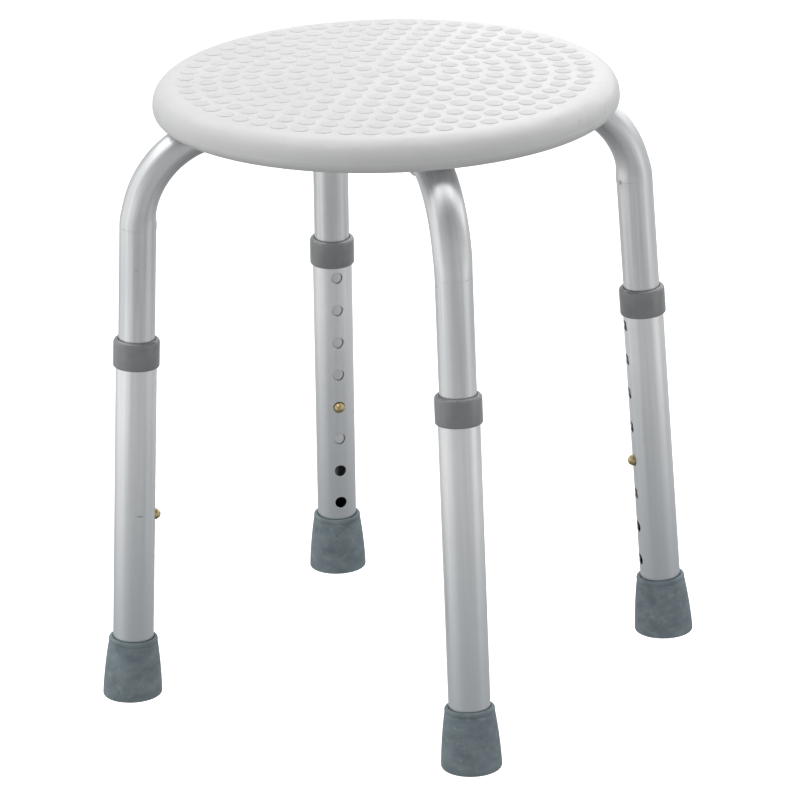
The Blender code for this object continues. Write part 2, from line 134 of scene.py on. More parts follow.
# Rubber feet
FOOT_LIP_RADIUS = 0.0172
FOOT_LIP_HEIGHT = 0.0030
FOOT_BULGE = 0.00055
FOOT_FLOOR = 0.0055
FOOT_HEEL = 0.0016
FOOT_BODY_STEPS = 14
SOLE_RINGS = (0.0155, 0.0112, 0.0069)
SOLE_GROOVE_WIDTH = 0.0016
SOLE_GROOVE_DEPTH = 0.0012

# Small parts
CLIP_WIDTH = 0.008
CLIP_THICKNESS = 0.0008
CLIP_NEAR = 0.0097
CLIP_BELOW_BUTTON = 0.007
CLIP_BEND_RADIUS = 0.003
CLIP_BEND_STEPS = 14
CLIP_LENGTH = 0.045
FOOT_WASHER_HOLE = 0.005
ARM_SCREW_RADIUS = 0.0025
ARM_SCREW_HEAD = 0.0032
RECESS_DEPTH = 0.0019
RECESS_REACH = 0.0026
RECESS_HALF_WIDTH = 0.00055
CENTRE_BOLT_RADIUS = 0.003
CENTRE_BOLT_HEAD = 0.004
SHANK_GAP = GAP / 10

# Between one piece's stock coordinates and the next one's, so that no two wear alike
PIECE_OFFSET = 0.7

# Marks on the tubes, and the heights of the lower tubes' painted shade
MARK_COLOUR = (0.22, 0.22, 0.22)
RING_MARK_WIDTH = 0.0005
NICKED_BAND_WIDTH = 0.009
# Painted shade on a lower tube: none above the first height, darkest at the second
FLOOR_SHADE_HEIGHTS = (0.21, 0.05)

# Mesh detail
TUBE_SIDES = 48
TUBE_ROW = 0.0025
HOLE_CELLS = 8
HOLE_PATCH = 0.0144
SEAT_SIDES = 180
ROUND_SIDES = 96
SMALL_SIDES = 40
FILLET_STEPS = 6

# Edges sharper than this, in degrees, are shaded as edges
SHARP = 30
BUTTON_SHARP = 40
TUBE_SHARP = 50
SEAT_SHARP = 50

# Vertices nearer than WELD are joined. The seat's flat cap is found to within CAP_MARGIN.
WELD = 2e-6
CAP_MARGIN = 1e-5

# Camera, fitted to the real stool's outlines
CAMERA_PLACE = (-0.7684, -3.2007, 1.3645)
CAMERA_TURN = radians(-13.503)
CAMERA_DOWN = radians(19.520)
CAMERA_ROLL = radians(-1.576)
CAMERA_LENS = 224.8
CAMERA_SHIFT = (0.0068, -0.0021)

# Studio. A softbox has a place, a size and a power in watts.
FLOOR_REACH = 20.0
FLOOR_COLOUR = (0.92, 0.92, 0.92, 1.0)
WHITE = (1.0, 1.0, 1.0, 1.0)
FLOOR_GLOW = 0.6
ROOM_COLOUR = (0.98, 0.99, 1.0, 1.0)
ROOM_FRONT = 0.565
ROOM_BACK = 0.70
ROOM_LEAST = 0.35
LIGHT_TARGET = (0.0, 0.0, 0.25)
SOFTBOXES = {
    "left_high": ((-1.9, 0.5, 1.8), (2.6, 2.4), 9.0),
    "right_high": ((1.9, 0.5, 1.8), (2.6, 2.4), 13.0),
    "overhead": ((0.0, 0.6, 2.3), (3.4, 3.2), 48.0),
    "left_low": ((-1.15, 0.25, 0.15), (1.2, 0.8), 1.0),
    "left_low_front": ((-1.2, -0.5, 0.2), (0.9, 0.8), 0.62),
    "right_low_front": ((1.2, -0.7, 0.15), (0.8, 0.7), 0.72),
    "right_back": ((0.7, 0.9, 0.8), (1.0, 0.7), 1.41),
    "left_lamp": ((-1.95, 0.25, 2.05), (0.35, 0.35), 1.3),
}


# ---------------------------------------------------------------- places from the frame


def leg_frame(side):
    """The leg's own frame, from its sole's mount and its joints' axes."""
    up = -Vector(joints["leg_slide_" + side]["axis"])
    out = Vector(joints["button_press_" + side]["axis"])
    turn = Matrix((out, up.cross(out), up)).transposed().to_4x4()
    return Matrix.Translation(mounts["foot_sole_" + side]["pos_m"]) @ turn


def leg_span(node, side):
    """(lowest, highest, largest radius) of a CAD node in its leg's own frame."""
    to_leg = leg_frame(side).inverted()
    points = [to_leg @ v.co for v in frame["nodes"][node].data.vertices]
    heights = [p.z for p in points]
    return min(heights), max(heights), max(p.xy.length for p in points)


SPLAY = asin(joints["leg_slide_right"]["axis"][0])
LEG_RADIUS_AT_FLOOR = Vector(mounts["foot_sole_right"]["pos_m"]).length
TURN_END = pi / 2 - SPLAY
BEND_START = LEG_RADIUS_AT_FLOOR - tan(SPLAY) * FRAME_TUBE_HEIGHT - BEND_RADIUS * tan(TURN_END / 2)
BEND_END = BEND_START + BEND_RADIUS * TURN_END
BEND_MARKS = [BEND_START - 0.004, BEND_END + 0.002]


# ---------------------------------------------------------------- meshes


def add_object(name, data):
    obj = bpy.data.objects.new(name, data)
    bpy.context.scene.collection.objects.link(obj)
    return obj


def mesh_of(bm, name):
    bmesh.ops.recalc_face_normals(bm, faces=bm.faces)
    mesh = bpy.data.meshes.new(name)
    bm.to_mesh(mesh)
    bm.free()
    return mesh


def new_bmesh():
    bm = bmesh.new()
    bm.verts.layers.float_vector.new("stock")
    return bm


def new_vert(bm, place, stock=None):
    """A vertex that remembers its stock place, which is its own place if none is given."""
    vert = bm.verts.new(place)
    vert[bm.verts.layers.float_vector["stock"]] = place if stock is None else stock
    return vert


def bridge(bm, first, second):
    """Faces between two loops: quads, or a fan where one of them is a single point."""
    faces = []
    count = max(len(first), len(second))
    for i in range(count):
        j = (i + 1) % count
        if len(first) == 1:
            corners = (first[0], second[j], second[i])
        elif len(second) == 1:
            corners = (first[i], first[j], second[0])
        else:
            corners = (first[i], first[j], second[j], second[i])
        faces.append(bm.faces.new(corners))
    return faces


def lathe(bm, outline, sides, closed=False, place=lambda x, y, z: (x, y, z)):
    """Turns (radius, height) points round Z. A point on the axis becomes one vertex."""
    rings = []
    for radius, height in outline:
        if radius == 0:
            rings.append([new_vert(bm, place(0, 0, height))])
            continue
        turns = [2 * pi * i / sides for i in range(sides)]
        points = [place(radius * cos(t), radius * sin(t), height) for t in turns]
        rings.append([new_vert(bm, p) for p in points])
    if closed:
        rings.append(rings[0])
    for first, second in zip(rings, rings[1:]):
        bridge(bm, first, second)


def rounded(corners, closed=False, steps=FILLET_STEPS):
    """An outline from (x, y, radius) corners, with an arc of that radius at each corner."""
    outline = []
    for i, (x, y, radius) in enumerate(corners):
        here = Vector((x, y))
        if radius == 0 or (not closed and i in (0, len(corners) - 1)):
            outline.append((x, y))
            continue
        back = (Vector(corners[i - 1][:2]) - here).normalized()
        ahead = (Vector(corners[(i + 1) % len(corners)][:2]) - here).normalized()
        half = back.angle(ahead) / 2
        centre = here + (back + ahead).normalized() * radius / sin(half)
        arm = here + back * radius / tan(half) - centre
        swing = (pi - 2 * half) * (1 if back.cross(ahead) < 0 else -1)
        for step in range(steps + 1):
            outline.append(tuple(centre + Matrix.Rotation(swing * step / steps, 2) @ arm))
    return outline


def smoothstep(value):
    value = min(max(value, 0.0), 1.0)
    return value * value * (3 - 2 * value)


def finish_piece(bm, name, nodes, body, materials, matrix=None, offset=0.0, sharp=SHARP):
    """Makes a piece from a bmesh: in place, shaded, and riding on its CAD body.

    offset shifts the stock coordinates, so that pieces of one kind don't wear alike.
    """
    layer = bm.verts.layers.float_vector["stock"]
    for vert in bm.verts:
        vert[layer] = vert[layer] + Vector((0, 0, offset))
    if matrix is not None:
        bm.transform(matrix)
    mesh = mesh_of(bm, name)
    mesh.shade_smooth()
    mesh.set_sharp_from_angle(angle=radians(sharp))
    for material in materials:
        mesh.materials.append(material)
    piece = add_object(name, mesh)
    if body:
        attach(piece, body)
    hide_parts(*nodes)
    return piece


def carved(bm, cutters, operation="DIFFERENCE"):
    """A new bmesh: the solid in bm with each cutter bmesh taken away or intersected."""
    target = add_object("carve_target", mesh_of(bm, "carve_target"))
    tools = []
    for cutter in cutters:
        tool = add_object("carve_tool", mesh_of(cutter, "carve_tool"))
        modifier = target.modifiers.new("carve", "BOOLEAN")
        modifier.operation = operation
        modifier.solver = "EXACT"
        modifier.object = tool
        tools.append(tool)
    graph = bpy.context.evaluated_depsgraph_get()
    mesh = bpy.data.meshes.new_from_object(target.evaluated_get(graph))
    result = bmesh.new()
    result.from_mesh(mesh)
    bmesh.ops.remove_doubles(result, verts=result.verts, dist=WELD)
    bmesh.ops.dissolve_degenerate(result, edges=result.edges, dist=WELD)
    for obj in (target, *tools):
        bpy.data.meshes.remove(obj.data)
    bpy.data.meshes.remove(mesh)
    layer = result.verts.layers.float_vector.get("stock")
    layer = layer or result.verts.layers.float_vector.new("stock")
    for vert in result.verts:
        vert[layer] = vert.co
    return result


# ---------------------------------------------------------------- tubes with round holes


def tube_rows(start, end, holes):
    """Places for the rings of a tube, with an even block of them at each hole."""
    rows = []
    edge = start
    for hole in [*holes, None]:
        block_start = end if hole is None else hole - HOLE_PATCH / 2
        count = max(1, round((block_start - edge) / TUBE_ROW))
        rows += [edge + (block_start - edge) * i / count for i in range(count)]
        if hole is not None:
            rows += [block_start + HOLE_PATCH * i / HOLE_CELLS for i in range(HOLE_CELLS)]
            edge = block_start + HOLE_PATCH
    return [*rows, end]


def patch_border():
    """(row, column) steps from a hole's middle round the edge of its square patch."""
    half = HOLE_CELLS // 2
    steps = range(HOLE_CELLS)
    border = [(-half, k - half) for k in steps] + [(k - half, half) for k in steps]
    return border + [(half, half - k) for k in steps] + [(half - k, -half) for k in steps]


def tube_wall(bm, rows, hole_rows, depth, place):
    """One wall of a tube, open at its holes. Returns its two end rings and hole borders."""
    verts = {}
    middle = TUBE_SIDES // 2
    half = HOLE_CELLS // 2

    def vert(row, column):
        key = (row, column % TUBE_SIDES)
        if key not in verts:
            spot = place(2 * pi * key[1] / TUBE_SIDES, rows[row], depth)
            verts[key] = new_vert(bm, *spot)
        return verts[key]

    open_cells = {
        (row + i, middle + j)
        for row in hole_rows for i in range(-half, half) for j in range(-half, half)
    }
    for row in range(len(rows) - 1):
        for column in range(TUBE_SIDES):
            if (row, column) not in open_cells:
                bm.faces.new((
                    vert(row, column), vert(row, column + 1),
                    vert(row + 1, column + 1), vert(row + 1, column),
                ))
    borders = [[vert(row + i, middle + j) for i, j in patch_border()] for row in hole_rows]
    ends = [[vert(row, column) for column in range(TUBE_SIDES)] for row in (0, len(rows) - 1)]
    return ends, borders


def hole_loop(bm, rows, row, radius, depth, place, hole_radius, blend):
    """A loop of points round a hole. blend 1 is the hole's circle and 0 its patch's edge."""
    loop = []
    for i, j in patch_border():
        along = rows[row + i] - rows[row]
        across = (radius - depth) * sin(2 * pi * j / TUBE_SIDES)
        angle = atan2(along, across)
        along += (hole_radius * sin(angle) - along) * blend
        across += (hole_radius * cos(angle) - across) * blend
        turn = pi + asin(across / (radius - depth))
        loop.append(new_vert(bm, *place(turn, rows[row] + along, depth)))
    return loop


def pierced_tube(bm, start, end, holes, radius, wall, place):
    """A tube with drilled, deburred holes on its side at half a turn.

    place(turn, along, depth) gives a wall point and its stock point.
    """
    rows = tube_rows(start, end, holes)
    hole_rows = [min(range(len(rows)), key=lambda i: abs(rows[i] - hole)) for hole in holes]
    outer_ends, outer_borders = tube_wall(bm, rows, hole_rows, 0.0, place)
    inner_ends, inner_borders = tube_wall(bm, rows, hole_rows, wall, place)
    for outer, inner in zip(outer_ends, inner_ends):
        bridge(bm, outer, inner)
    rim = HOLE_RADIUS + HOLE_CHAMFER
    for row, outer, inner in zip(hole_rows, outer_borders, inner_borders):
        steps = [
            (0.0, rim, 0.55), (0.0, rim + HOLE_CHAMFER / 2, 1.0), (0.0, rim, 1.0),
            (HOLE_CHAMFER * 0.3, HOLE_RADIUS + HOLE_CHAMFER * 0.3, 1.0),
            (HOLE_CHAMFER, HOLE_RADIUS, 1.0), (wall, HOLE_RADIUS, 1.0), (wall, HOLE_RADIUS, 0.5),
        ]
        loops = [outer]
        loops += [
            hole_loop(bm, rows, row, radius, depth, place, hole_radius, blend)
            for depth, hole_radius, blend in steps
        ]
        loops.append(inner)
        for first, second in zip(loops, loops[1:]):
            bridge(bm, first, second)


# ---------------------------------------------------------------- frame tubes


def frame_centreline(distance):
    """(out, height, tangent's angle below the horizontal) of a bent tube's centreline."""
    turn = min(max((distance - BEND_START) / BEND_RADIUS, 0.0), TURN_END)
    out = min(distance, BEND_START) + BEND_RADIUS * sin(turn)
    height = FRAME_TUBE_HEIGHT - BEND_RADIUS * (1 - cos(turn))
    rest = max(distance - BEND_END, 0.0)
    return out + rest * cos(turn), height - rest * sin(turn), turn


def frame_section(distance, turn, depth, lap_side):
    """A bent tube's section point: (along its upper or outer side, across)."""
    lap = 1 - smoothstep((distance - LAP_FLAT) / (LAP_LENGTH - LAP_FLAT))
    into_bend = min(distance - BEND_START, BEND_END - distance)
    bend = smoothstep(into_bend / BEND_FLATTENING_RAMP)
    lap_height = (FRAME_TUBE_RADIUS - LAP_GAP / 2) / 2
    half_height = FRAME_TUBE_RADIUS * (1 - BEND_FLATTENING * bend)
    half_width = FRAME_TUBE_RADIUS * (1 + BEND_FLATTENING * bend / 2)
    half_height += (lap_height - half_height) * lap - depth
    half_width += (LAP_WIDTH / 2 - half_width) * lap - depth
    power = 2 / (2 + (LAP_SQUARENESS - 2) * lap)
    up = abs(cos(turn)) ** power * half_height
    across = abs(sin(turn)) ** power * half_width
    if cos(turn) < 0:
        past_bend = (distance - BEND_END) / BEND_BULGE_LENGTH
        up = -up + BEND_BULGE * exp(-past_bend**2) * cos(turn)
    up += lap_side * (FRAME_TUBE_RADIUS - lap_height) * lap
    return up, across if sin(turn) > 0 else -across


def leg_height_to_distance(height):
    """How far along a bent tube's centreline a height up the leg's axis is."""
    bend_end_height = frame_centreline(BEND_END)[1] / cos(SPLAY)
    return BEND_END + bend_end_height - height


def frame_place(node):
    """The place function of one bent tube's walls. A negative depth is outside the tube."""
    direction, lap_side = FRAME_TUBES[node]
    outward = Vector((cos(direction), sin(direction), 0))
    sideways = Vector((-sin(direction), cos(direction), 0))

    def place(turn, along, depth):
        distance = abs(along)
        side = 1 if along >= 0 else -1
        out, height, tilt = frame_centreline(distance)
        up, across = frame_section(distance, turn, depth, lap_side)
        normal = outward * (side * sin(tilt)) + Vector((0, 0, cos(tilt)))
        point = outward * (side * out) + Vector((0, 0, height)) + normal * up + sideways * across
        radius = FRAME_TUBE_RADIUS - depth
        return point, (radius * cos(turn), radius * sin(turn), along)

    return place


def frame_solid(node, start, end, grow):
    """Part of a bent tube's outer shape as a solid, grown, for carving with."""
    place = frame_place(node)
    count = round((end - start) / TUBE_ROW)
    bm = new_bmesh()
    rings = []
    for i in range(count + 1):
        along = start + (end - start) * i / count
        turns = [2 * pi * j / TUBE_SIDES for j in range(TUBE_SIDES)]
        rings.append([new_vert(bm, place(t, along, -grow)[0]) for t in turns])
    for first, second in zip(rings, rings[1:]):
        bridge(bm, first, second)
    bm.faces.new(rings[0])
    bm.faces.new(rings[-1])
    return bm


def make_frame_tube(node, materials):
    """One bent tube: two legs' inner tubes, two bends and the flattened crossing."""
    end = leg_height_to_distance(BUTTON_HEIGHT - INNER_END_BELOW_BUTTON)
    button = leg_height_to_distance(BUTTON_HEIGHT)
    bm = new_bmesh()
    holes = [-button, button]
    pierced_tube(bm, -end, end, holes, FRAME_TUBE_RADIUS, FRAME_TUBE_WALL, frame_place(node))
    finish_piece(
        bm, node.replace("frame_tube", "bent_tube"), [node], "root",
        materials, sharp=TUBE_SHARP,
    )


# ---------------------------------------------------------------- legs


def make_lower_tube(side, materials, offset):
    node = "outer_tube_" + side
    bottom, top, radius = leg_span(node, side)

    def place(turn, along, depth):
        point = ((radius - depth) * cos(turn), (radius - depth) * sin(turn), along)
        return point, point

    bm = new_bmesh()
    pierced_tube(bm, bottom, top, HOLE_HEIGHTS, radius, OUTER_TUBE_WALL, place)
    finish_piece(
        bm, "lower_tube_" + side, [node], "leg_" + side, materials,
        leg_frame(side), offset, sharp=TUBE_SHARP,
    )


def make_collar(side, materials, offset):
    """A moulded sleeve with a soft shoulder, a lip round the inner tube and a thin skirt."""
    node = "collar_" + side
    bottom, top, radius = leg_span(node, side)
    tube_top = leg_span("outer_tube_" + side, side)[1]
    sleeve = leg_span("outer_tube_" + side, side)[2] + GAP
    lip = FRAME_TUBE_RADIUS + GAP
    corners = [
        (radius, top, 0.0028),
        (radius, bottom, 0.0009),
        (sleeve, bottom, 0.0002),
        (sleeve, tube_top + GAP, 0.0),
        (lip, tube_top + GAP, 0.0),
        (lip, top, 0.0006),
    ]
    bm = new_bmesh()
    lathe(bm, rounded(corners, closed=True), ROUND_SIDES, closed=True)
    finish_piece(
        bm, "collar_sleeve_" + side, [node], "leg_" + side, materials,
        leg_frame(side), offset,
    )


def foot_outline(height, radius):
    """A rubber foot's outline: bore, rolled lip, bulging wall, heel and grooved sole."""
    bore = leg_span("outer_tube_right", "right")[2] + GAP
    bead = [
        (bore, FOOT_FLOOR, 0.0),
        (bore, height, 0.0005),
        (FOOT_LIP_RADIUS, height, 0.0018),
        (FOOT_LIP_RADIUS, height - FOOT_LIP_HEIGHT, 0.0004),
        (FOOT_LIP_RADIUS - 0.0003, height - FOOT_LIP_HEIGHT - 0.0004, 0.0),
    ]
    outline = [(0.0, FOOT_FLOOR), *rounded(bead)]
    wall_top = height - FOOT_LIP_HEIGHT - 0.0008
    for i in range(FOOT_BODY_STEPS + 1):
        part = i / FOOT_BODY_STEPS
        bulge = FOOT_BULGE * 4 * part * (1 - part)
        wall = FOOT_LIP_RADIUS + (radius - FOOT_LIP_RADIUS) * part + bulge
        outline.append((wall, wall_top + (FOOT_HEEL - wall_top) * part))
    heel_corner = [
        (radius, FOOT_HEEL, 0.0), (radius - 0.0002, 0.0, 0.0011), (radius - 0.004, 0.0, 0.0)
    ]
    outline += rounded(heel_corner)[1:-1]
    for ring in SOLE_RINGS:
        out, back = ring + SOLE_GROOVE_WIDTH / 2, ring - SOLE_GROOVE_WIDTH / 2
        groove = [(out, 0.0), (out - 0.0003, SOLE_GROOVE_DEPTH), (back + 0.0003, SOLE_GROOVE_DEPTH)]
        outline += [*groove, (back, 0.0)]
    return [*outline, (0.0, 0.0)]


def make_foot(side, materials, offset):
    """A rubber foot, sheared below its floor so that the sole lies flat on the ground."""
    node = "rubber_foot_" + side
    _, height, radius = leg_span(node, side)

    def shear(x, y, z):
        return (x, y, z - x * tan(SPLAY) * max(0.0, 1 - z / FOOT_FLOOR))

    bm = new_bmesh()
    lathe(bm, foot_outline(height, radius), ROUND_SIDES, place=shear)
    finish_piece(
        bm, "rubber_tip_" + side, [node], "leg_" + side, materials,
        leg_frame(side), offset,
    )


def make_button(side, materials, offset):
    """A turned brass button: a pin with a domed end, lying along the leg's -X."""
    node = "snap_button_" + side
    to_leg = leg_frame(side).inverted()
    points = [to_leg @ v.co for v in frame["nodes"][node].data.vertices]
    base = -max(p.x for p in points)
    tip = -min(p.x for p in points)
    radius = max(abs(p.y) for p in points)
    corners = [
        (0.0, base, 0.0),
        (radius, base, 0.0003),
        (radius, tip - 0.0029, 0.0010),
        (radius * 0.62, tip - 0.0007, 0.0016),
        (radius * 0.2, tip, 0.0006),
        (0.0, tip, 0.0),
    ]
    bm = new_bmesh()
    lathe(bm, rounded(corners), SMALL_SIDES, place=lambda x, y, z: (-z, x, y + BUTTON_HEIGHT))
    finish_piece(
        bm, "brass_button_" + side, [node], "button_" + side, materials,
        leg_frame(side), offset, sharp=BUTTON_SHARP,
    )


# ---------------------------------------------------------------- seat


def crown(radius):
    """The height of the seat's top at a distance from its middle."""
    part = min(max((radius - CROWN_FLAT) / (CROWN_RADIUS - CROWN_FLAT), 0.0), 1.0)
    return SEAT_TOP + CROWN_HEIGHT * (1 + cos(pi * part)) / 2


def disc_places():
    places = [Vector((0.0, 0.0))]
    for ring in range(1, DISC_RINGS + 1):
        count = 6 * ring - 1
        turns = [DISC_START_ANGLE + 2 * pi * i / count for i in range(count)]
        places += [Vector((cos(t), sin(t))) * ring * DISC_RING_PITCH for t in turns]
    return places


def disc_loop(centre, grow):
    radius = DISC_RADIUS + grow
    turns = [2 * pi * i / DISC_SIDES for i in range(DISC_SIDES)]
    return [centre + Vector((cos(t), sin(t))) * radius for t in turns]


def ground_grid(discs):
    """A loose grid of points between the discs, which lets the ground follow the crown."""
    count = int(TREAD_EDGE / GROUND_PITCH * 1.2)
    clear = DISC_RADIUS + DISC_STEPS[0][0] + DISC_CLEARANCE
    grid = []
    for i in range(-count, count + 1):
        for j in range(-count, count + 1):
            point = Vector((i + (j % 2) / 2, j * GROUND_ROW_RATIO)) * GROUND_PITCH
            if point.length < TREAD_EDGE - 0.001:
                if min((point - disc).length for disc in discs) > clear:
                    grid.append(point)
    return grid


def add_tread(bm, edge):
    """Fills a loop of vertices at the seat's edge with the crowned ground and its discs."""
    discs = disc_places()
    points = [v.co.xy for v in edge]
    loops = [list(range(len(edge)))]
    owner = [-1] * len(edge)
    for index, disc in enumerate(discs):
        loops.append(list(range(len(points), len(points) + DISC_SIDES)))
        points += disc_loop(disc, DISC_STEPS[0][0])
        owner += [index] * DISC_SIDES
    grid = ground_grid(discs)
    points += grid
    owner += [-1] * len(grid)
    edges = [(loop[i], loop[i - 1]) for loop in loops for i in range(len(loop))]
    placed, _, faces, origins, _, _ = delaunay_2d_cdt(points, edges, [], 0, TREAD_PRECISION)
    verts = {}
    for place, origin in zip(placed, origins):
        first = origin[0]
        height = crown(place.length)
        verts[first] = edge[first] if first < len(edge) else new_vert(bm, (*place, height))
    ids = [origin[0] for origin in origins]
    for face in faces:
        corners = [ids[i] for i in face]
        owners = {owner[i] for i in corners}
        if len(owners) > 1 or owners == {-1}:
            bm.faces.new([verts[i] for i in corners])
    for disc, loop in zip(discs, loops[1:]):
        add_disc(bm, disc, [verts[i] for i in loop])


def add_disc(bm, centre, foot):
    """Raises one disc of the tread from its foot loop. Its top has the second material."""
    below = foot
    for grow, rise in DISC_STEPS[1:]:
        points = disc_loop(centre, grow)
        loop = [new_vert(bm, (*point, crown(point.length) + rise)) for point in points]
        faces = bridge(bm, below, loop)
        below = loop
    top = new_vert(bm, (*centre, crown(centre.length) + DISC_STEPS[-1][1]))
    for face in faces + bridge(bm, below, [top]):
        face.material_index = 1


def seat_body():
    """The seat without its tread: flat cap, rolled rim with its parting line, and underside."""
    top_round = SEAT_TOP_EDGE_ROUND
    low_round = SEAT_BOTTOM_EDGE_ROUND
    outline = [(0.0, SEAT_TOP), (TREAD_EDGE, SEAT_TOP)]
    for i in range(RIM_STEPS + 1):
        turn = pi / 2 * (1 - i / RIM_STEPS)
        height = SEAT_TOP - top_round + top_round * sin(turn)
        outline.append((SEAT_RADIUS - top_round + top_round * cos(turn), height))
    for step, rise in PARTING_LINE:
        outline.append((SEAT_RADIUS + rise, SEAT_BOTTOM + PARTING_LINE_PLACE - step))
    for i in range(RIM_STEPS + 1):
        turn = -pi / 2 * i / RIM_STEPS
        height = SEAT_BOTTOM + low_round + low_round * sin(turn)
        outline.append((SEAT_RADIUS - low_round + low_round * cos(turn), height))
    outline += [(SEAT_RADIUS - low_round - 0.004, SEAT_BOTTOM), (0.0, SEAT_BOTTOM)]
    bm = new_bmesh()
    lathe(bm, outline, SEAT_SIDES)
    return bm


def post(centre, radius, bottom, top):
    """An upright cylinder for carving with."""
    bm = new_bmesh()
    outline = [(0.0, top), (radius, top), (radius, bottom), (0.0, bottom)]
    lathe(bm, outline, SMALL_SIDES)
    bm.transform(Matrix.Translation((*centre, 0)))
    return bm


def make_seat(materials):
    """The blow-moulded seat: tread, rim, grooves for the bent tubes and the blow hole."""
    cutters = [frame_solid(node, -SEAT_RADIUS, SEAT_RADIUS, GAP) for node in FRAME_TUBES]
    blow_top = SEAT_BOTTOM + BLOW_HOLE_DEPTH
    blow_place = (BLOW_HOLE_PLACE, BLOW_HOLE_PLACE)
    cutters.append(post(blow_place, BLOW_HOLE_RADIUS, SEAT_BOTTOM - GAP, blow_top))
    bm = carved(seat_body(), cutters)
    low, reach = SEAT_TOP - CAP_MARGIN, TREAD_EDGE + CAP_MARGIN
    cap = [f for f in bm.faces if all(v.co.z > low and v.co.xy.length < reach for v in f.verts)]
    bmesh.ops.delete(bm, geom=cap, context="FACES")
    edge = [v for v in bm.verts if v.is_boundary]
    edge.sort(key=lambda v: atan2(v.co.y, v.co.x))
    add_tread(bm, edge)
    finish_piece(bm, "moulded_seat", ["seat"], "root", materials, sharp=SEAT_SHARP)


# ---------------------------------------------------------------- fasteners and springs


def spring_path():
    """The middle line of a leaf spring as (x, height over the button), from near to far arm."""
    bore = FRAME_TUBE_RADIUS - FRAME_TUBE_WALL
    far = bore * cos(asin(CLIP_WIDTH / 2 / bore)) - GAP - CLIP_THICKNESS / 2
    bend_height = CLIP_LENGTH - CLIP_BELOW_BUTTON - CLIP_BEND_RADIUS
    path = [(-CLIP_NEAR, -CLIP_BELOW_BUTTON), (-CLIP_NEAR, CLIP_BELOW_BUTTON)]
    for i in range(CLIP_BEND_STEPS + 1):
        turn = pi * (1 - i / CLIP_BEND_STEPS)
        path.append((CLIP_BEND_RADIUS * cos(turn), bend_height + CLIP_BEND_RADIUS * sin(turn)))
    return [Vector(p) for p in [*path, (far, -CLIP_BELOW_BUTTON)]]


def make_spring(side, materials, offset):
    """A leaf spring bent to a V. Its near arm follows the button and its far arm the tube."""
    path = spring_path()
    edge = CLIP_THICKNESS * 0.3
    corners = [
        (sx * CLIP_WIDTH / 2, sy * CLIP_THICKNESS / 2, edge)
        for sx, sy in ((1, 1), (-1, 1), (-1, -1), (1, -1))
    ]
    section = rounded(corners, closed=True, steps=2)
    bm = new_bmesh()
    rings = []
    for i, middle in enumerate(path):
        along = (path[min(i + 1, len(path) - 1)] - path[max(i - 1, 0)]).normalized()
        ring = []
        for across, through in section:
            spot = middle + Vector((along.y, -along.x)) * through
            ring.append(new_vert(bm, (spot.x, across, spot.y + BUTTON_HEIGHT)))
        rings.append(ring)
    for first, second in zip(rings, rings[1:]):
        bridge(bm, first, second)
    bm.faces.new(rings[0])
    bm.faces.new(rings[-1])
    piece = finish_piece(
        bm, "leaf_spring_" + side, ["spring_clip_" + side], None, materials,
        leg_frame(side), offset,
    )
    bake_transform(piece)


def make_foot_washer(side, materials, offset):
    node = "foot_washer_" + side
    bottom, top, radius = leg_span(node, side)
    corners = [
        (radius, top, 0.0003), (radius, bottom, 0.0003),
        (FOOT_WASHER_HOLE, bottom, 0.0003), (FOOT_WASHER_HOLE, top, 0.0003),
    ]
    bm = new_bmesh()
    lathe(bm, rounded(corners, closed=True, steps=2), ROUND_SIDES, closed=True)
    finish_piece(
        bm, "steel_disc_" + side, [node], "leg_" + side, materials,
        leg_frame(side), offset,
    )


def cross_recess():
    """Two crossed, tapered slots pointing up from height 0, for carving a screw's head."""
    slots = []
    for turn in (pi / 4, 3 * pi / 4):
        bm = new_bmesh()
        rings = []
        for height, scale in ((-0.001, 1.15), (RECESS_DEPTH, 0.55)):
            corners = [
                (x * scale * RECESS_REACH, y * RECESS_HALF_WIDTH)
                for x, y in ((1, 1), (-1, 1), (-1, -1), (1, -1))
            ]
            rings.append([new_vert(bm, (x, y, height)) for x, y in corners])
        bridge(bm, *rings)
        bm.faces.new(rings[0])
        bm.faces.new(rings[1])
        bm.transform(Matrix.Rotation(turn, 4, "Z"))
        slots.append(bm)
    return slots


def middle_of(node):
    low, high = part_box(node)
    return (low + high) / 2


def make_arm_screw(side, materials, offset):
    """A pan-head screw with a cross recess, pointing up into the seat."""
    node = "arm_screw_" + side
    low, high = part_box(node)
    radius = max(high.x - low.x, high.y - low.y) / 2
    head_top = low.z + ARM_SCREW_HEAD
    corners = [
        (0.0, high.z, 0.0),
        (ARM_SCREW_RADIUS * 0.35, high.z, 0.0),
        (ARM_SCREW_RADIUS, high.z - 0.003, 0.0),
        (ARM_SCREW_RADIUS, head_top, 0.0004),
        (radius, head_top, 0.0003),
        (radius, low.z + ARM_SCREW_HEAD * 0.45, 0.001),
        (radius * 0.62, low.z, 0.0025),
        (0.0, low.z, 0.0),
    ]
    bm = new_bmesh()
    lathe(bm, rounded(corners), SMALL_SIDES)
    slots = cross_recess()
    for slot in slots:
        slot.transform(Matrix.Translation((0, 0, low.z)))
    bm = carved(bm, slots)
    place = Matrix.Translation((*middle_of(node).xy, 0))
    finish_piece(
        bm, "pan_screw_" + side, [node], "root", materials, place, offset
    )


